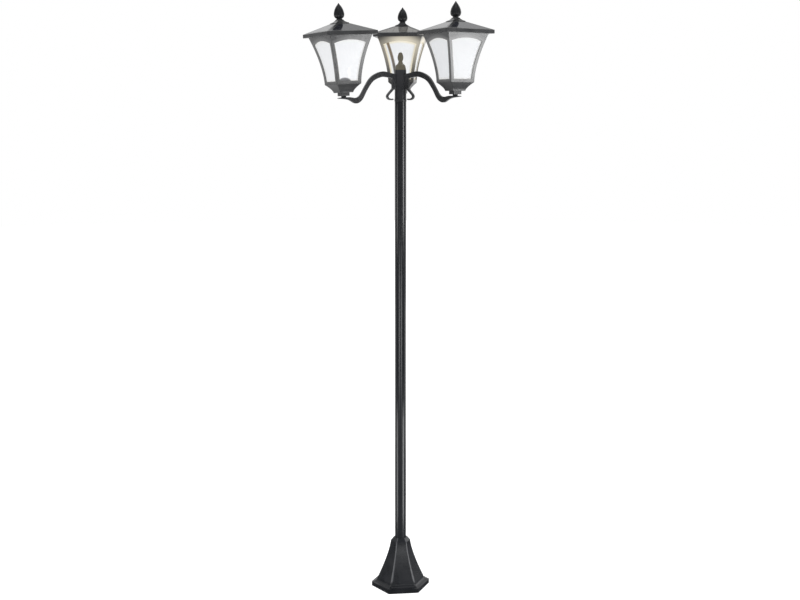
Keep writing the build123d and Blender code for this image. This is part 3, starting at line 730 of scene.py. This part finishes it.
def makeFinial(side):
    shape = bmesh.new()
    profile = alongProfile(finial["profile"], finial["rings"])
    foot, top = finial["leafFoot"], finial["profile"][-1][0]
    segments = finial["segments"]
    rings = []
    for height, radius in profile[:-1]:
        share = (height - foot) / (top - foot)
        leafy = min(1.0, radius / finial["fullLeaf"])
        ring = []
        for index in range(segments):
            turn = 2 * pi * index / segments
            out = radius + (leafRelief(turn, share) - finial["leafLift"]) * leafy
            out = max(out, finial["leastRadius"])
            ring.append(shape.verts.new((out * cos(turn), out * sin(turn), lantern["capTop"] + height)))
        rings.append(ring)
    tip = shape.verts.new((0.0, 0.0, lantern["capTop"] + top))
    for low, high in zip(rings, rings[1:]):
        for index in range(segments):
            follow = (index + 1) % segments
            shape.faces.new((low[index], low[follow], high[follow], high[index]))
    for index in range(segments):
        shape.faces.new((rings[-1][index], rings[-1][(index + 1) % segments], tip))
    shape.faces.new(list(reversed(rings[0])))
    for vert in shape.verts:
        vert.co *= mm
    mesh = bpy.data.meshes.new(f"{side}_leafed_finial")
    shape.to_mesh(mesh)
    shape.free()
    mesh.transform(sides[side])
    mesh.materials.append(blackResin.owner)
    for polygon in mesh.polygons:
        polygon.use_smooth = True
    piece = bpy.data.objects.new(f"{side}_leafed_finial", mesh)
    scene.collection.objects.link(piece)
    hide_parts(f"{side}_finial")
    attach(piece, f"{side}_roof")


for side in sides:
    makeFinial(side)
print("finials made")

studio = {
    "fill": 0.85,         # light from all round on the lamp post
    "darkFront": 0.10,    # what its gloss mirrors at the front and the sides
    "brightBack": 0.88,   # and behind
    "turning": (0.3, 0.85),   # slants backwards between which the one turns into the other
    "floorColor": (0.50, 0.50, 0.50),
    "floorGrain": 0.97,   # share of that colour in the darker grain
    "floorLift": 0.80,    # seen by the camera, so that the floor is white round its shadow
    "floorTurning": 0.35,     # slant that each metre back on the floor counts as
    "floorRadius": 14.0,
    "floorGap": 0.0002,   # under the lamp post
}


def rayParts(finish):
    # camera, glossy and transmission rays, as 0 or 1
    outputs = finish.node("ShaderNodeLightPath").socket.node.outputs
    return [Value(finish, outputs[f"Is {kind} Ray"]) for kind in ("Camera", "Glossy", "Transmission")]


def mirrored(finish, slant):
    # brightness that gloss sees, from dark in front to bright behind
    return finish.spread(slant, *studio["turning"], studio["darkFront"], studio["brightBack"])


floorMesh = bpy.data.meshes.new("floor")
floorShape = bmesh.new()
bmesh.ops.create_circle(floorShape, cap_ends=True, segments=64, radius=studio["floorRadius"])
floorShape.to_mesh(floorMesh)
floorShape.free()
floor = bpy.data.objects.new("floor", floorMesh)
floor.location.z = cadBox[0][2] - studio["floorGap"]
scene.collection.objects.link(floor)

floorPaint = Finish("floor_paint")
place = floorPaint.point()
back = floorPaint.split(place)[1]
seen, glossy, passed = rayParts(floorPaint)
grainColor = tuple(part * studio["floorGrain"] for part in studio["floorColor"])
dusty = floorPaint.blend(floorPaint.noise(place, 40.0), studio["floorColor"], grainColor)
matt = floorPaint.node("ShaderNodeBsdfDiffuse", inputs={"Color": dusty})
lifting = (seen + passed) * studio["floorLift"]
lift = floorPaint.node("ShaderNodeEmission", inputs={"Color": white, "Strength": lifting})
shown = floorPaint.node("ShaderNodeAddShader", inputs={0: matt, 1: lift})
mirroring = mirrored(floorPaint, back * studio["floorTurning"])
dark = floorPaint.node("ShaderNodeEmission", inputs={"Color": white, "Strength": mirroring})
floorPaint.close(floorPaint.node("ShaderNodeMixShader", inputs={0: glossy, 1: shown, 2: dark}))
floorMesh.materials.append(floorPaint.owner)

sky = Finish("studio", bpy.data.worlds)
scene.world = sky.owner
back = sky.split(sky.node("ShaderNodeTexCoord"))[1]
seen, glossy, passed = rayParts(sky)
strength = seen + passed + glossy * mirrored(sky, back)
strength = strength + (1.0 - seen - passed - glossy) * studio["fill"]
background = sky.node("ShaderNodeBackground", inputs={"Color": white, "Strength": strength})
sky.node("ShaderNodeOutputWorld", inputs={"Surface": background})

# place, aim, width and height in metres, brightness, colour
softboxes = {
    "key_right": ((0.88, -0.42, 1.33), (0.17, -0.10, 1.62), 0.38, 0.56, 6.4, white),
    "key_left": ((-0.93, -0.40, 1.26), (-0.16, -0.09, 1.62), 0.40, 0.54, 2.8, (1.0, 0.99, 0.97)),
    "low_right": ((0.50, -0.26, 0.23), (0.0, 0.0, 0.23), 0.28, 0.42, 5.4, white),
    "low_left": ((-0.51, -0.21, 0.23), (0.0, 0.0, 0.23), 0.26, 0.42, 3.8, white),
    "side_right": ((0.85, 0.49, 0.46), (0.0, 0.0, 0.08), 0.6, 0.7, 1.5, white),
    "side_left": ((-0.85, 0.49, 0.46), (0.0, 0.0, 0.08), 0.6, 0.7, 0.6, white),
    "front_left": ((-0.98, -2.5, 0.39), (0.0, 0.0, 1.0), 1.0, 0.62, 4.0, (0.98, 0.99, 1.0)),
    "front_right": ((0.98, -2.5, 0.39), (0.0, 0.0, 1.0), 1.0, 0.62, 4.0, (0.98, 0.99, 1.0)),
    "top": ((0.4, -0.9, 4.0), (0.0, 0.0, 1.2), 1.6, 1.6, 1.2, white),
}


def makeSoftbox(name, place, aim, width, height, brightness, color):
    data = bpy.data.lights.new(name, "AREA")
    data.shape = "RECTANGLE"
    data.size = width
    data.size_y = height
    data.energy = brightness * pi * width * height
    data.color = color
    box = bpy.data.objects.new(name, data)
    box.location = place
    box.rotation_euler = (Vector(aim) - Vector(place)).to_track_quat("-Z", "Y").to_euler()
    box.visible_camera = False
    scene.collection.objects.link(box)


for name, parts in softboxes.items():
    makeSoftbox(name, *parts)
print("studio lit")
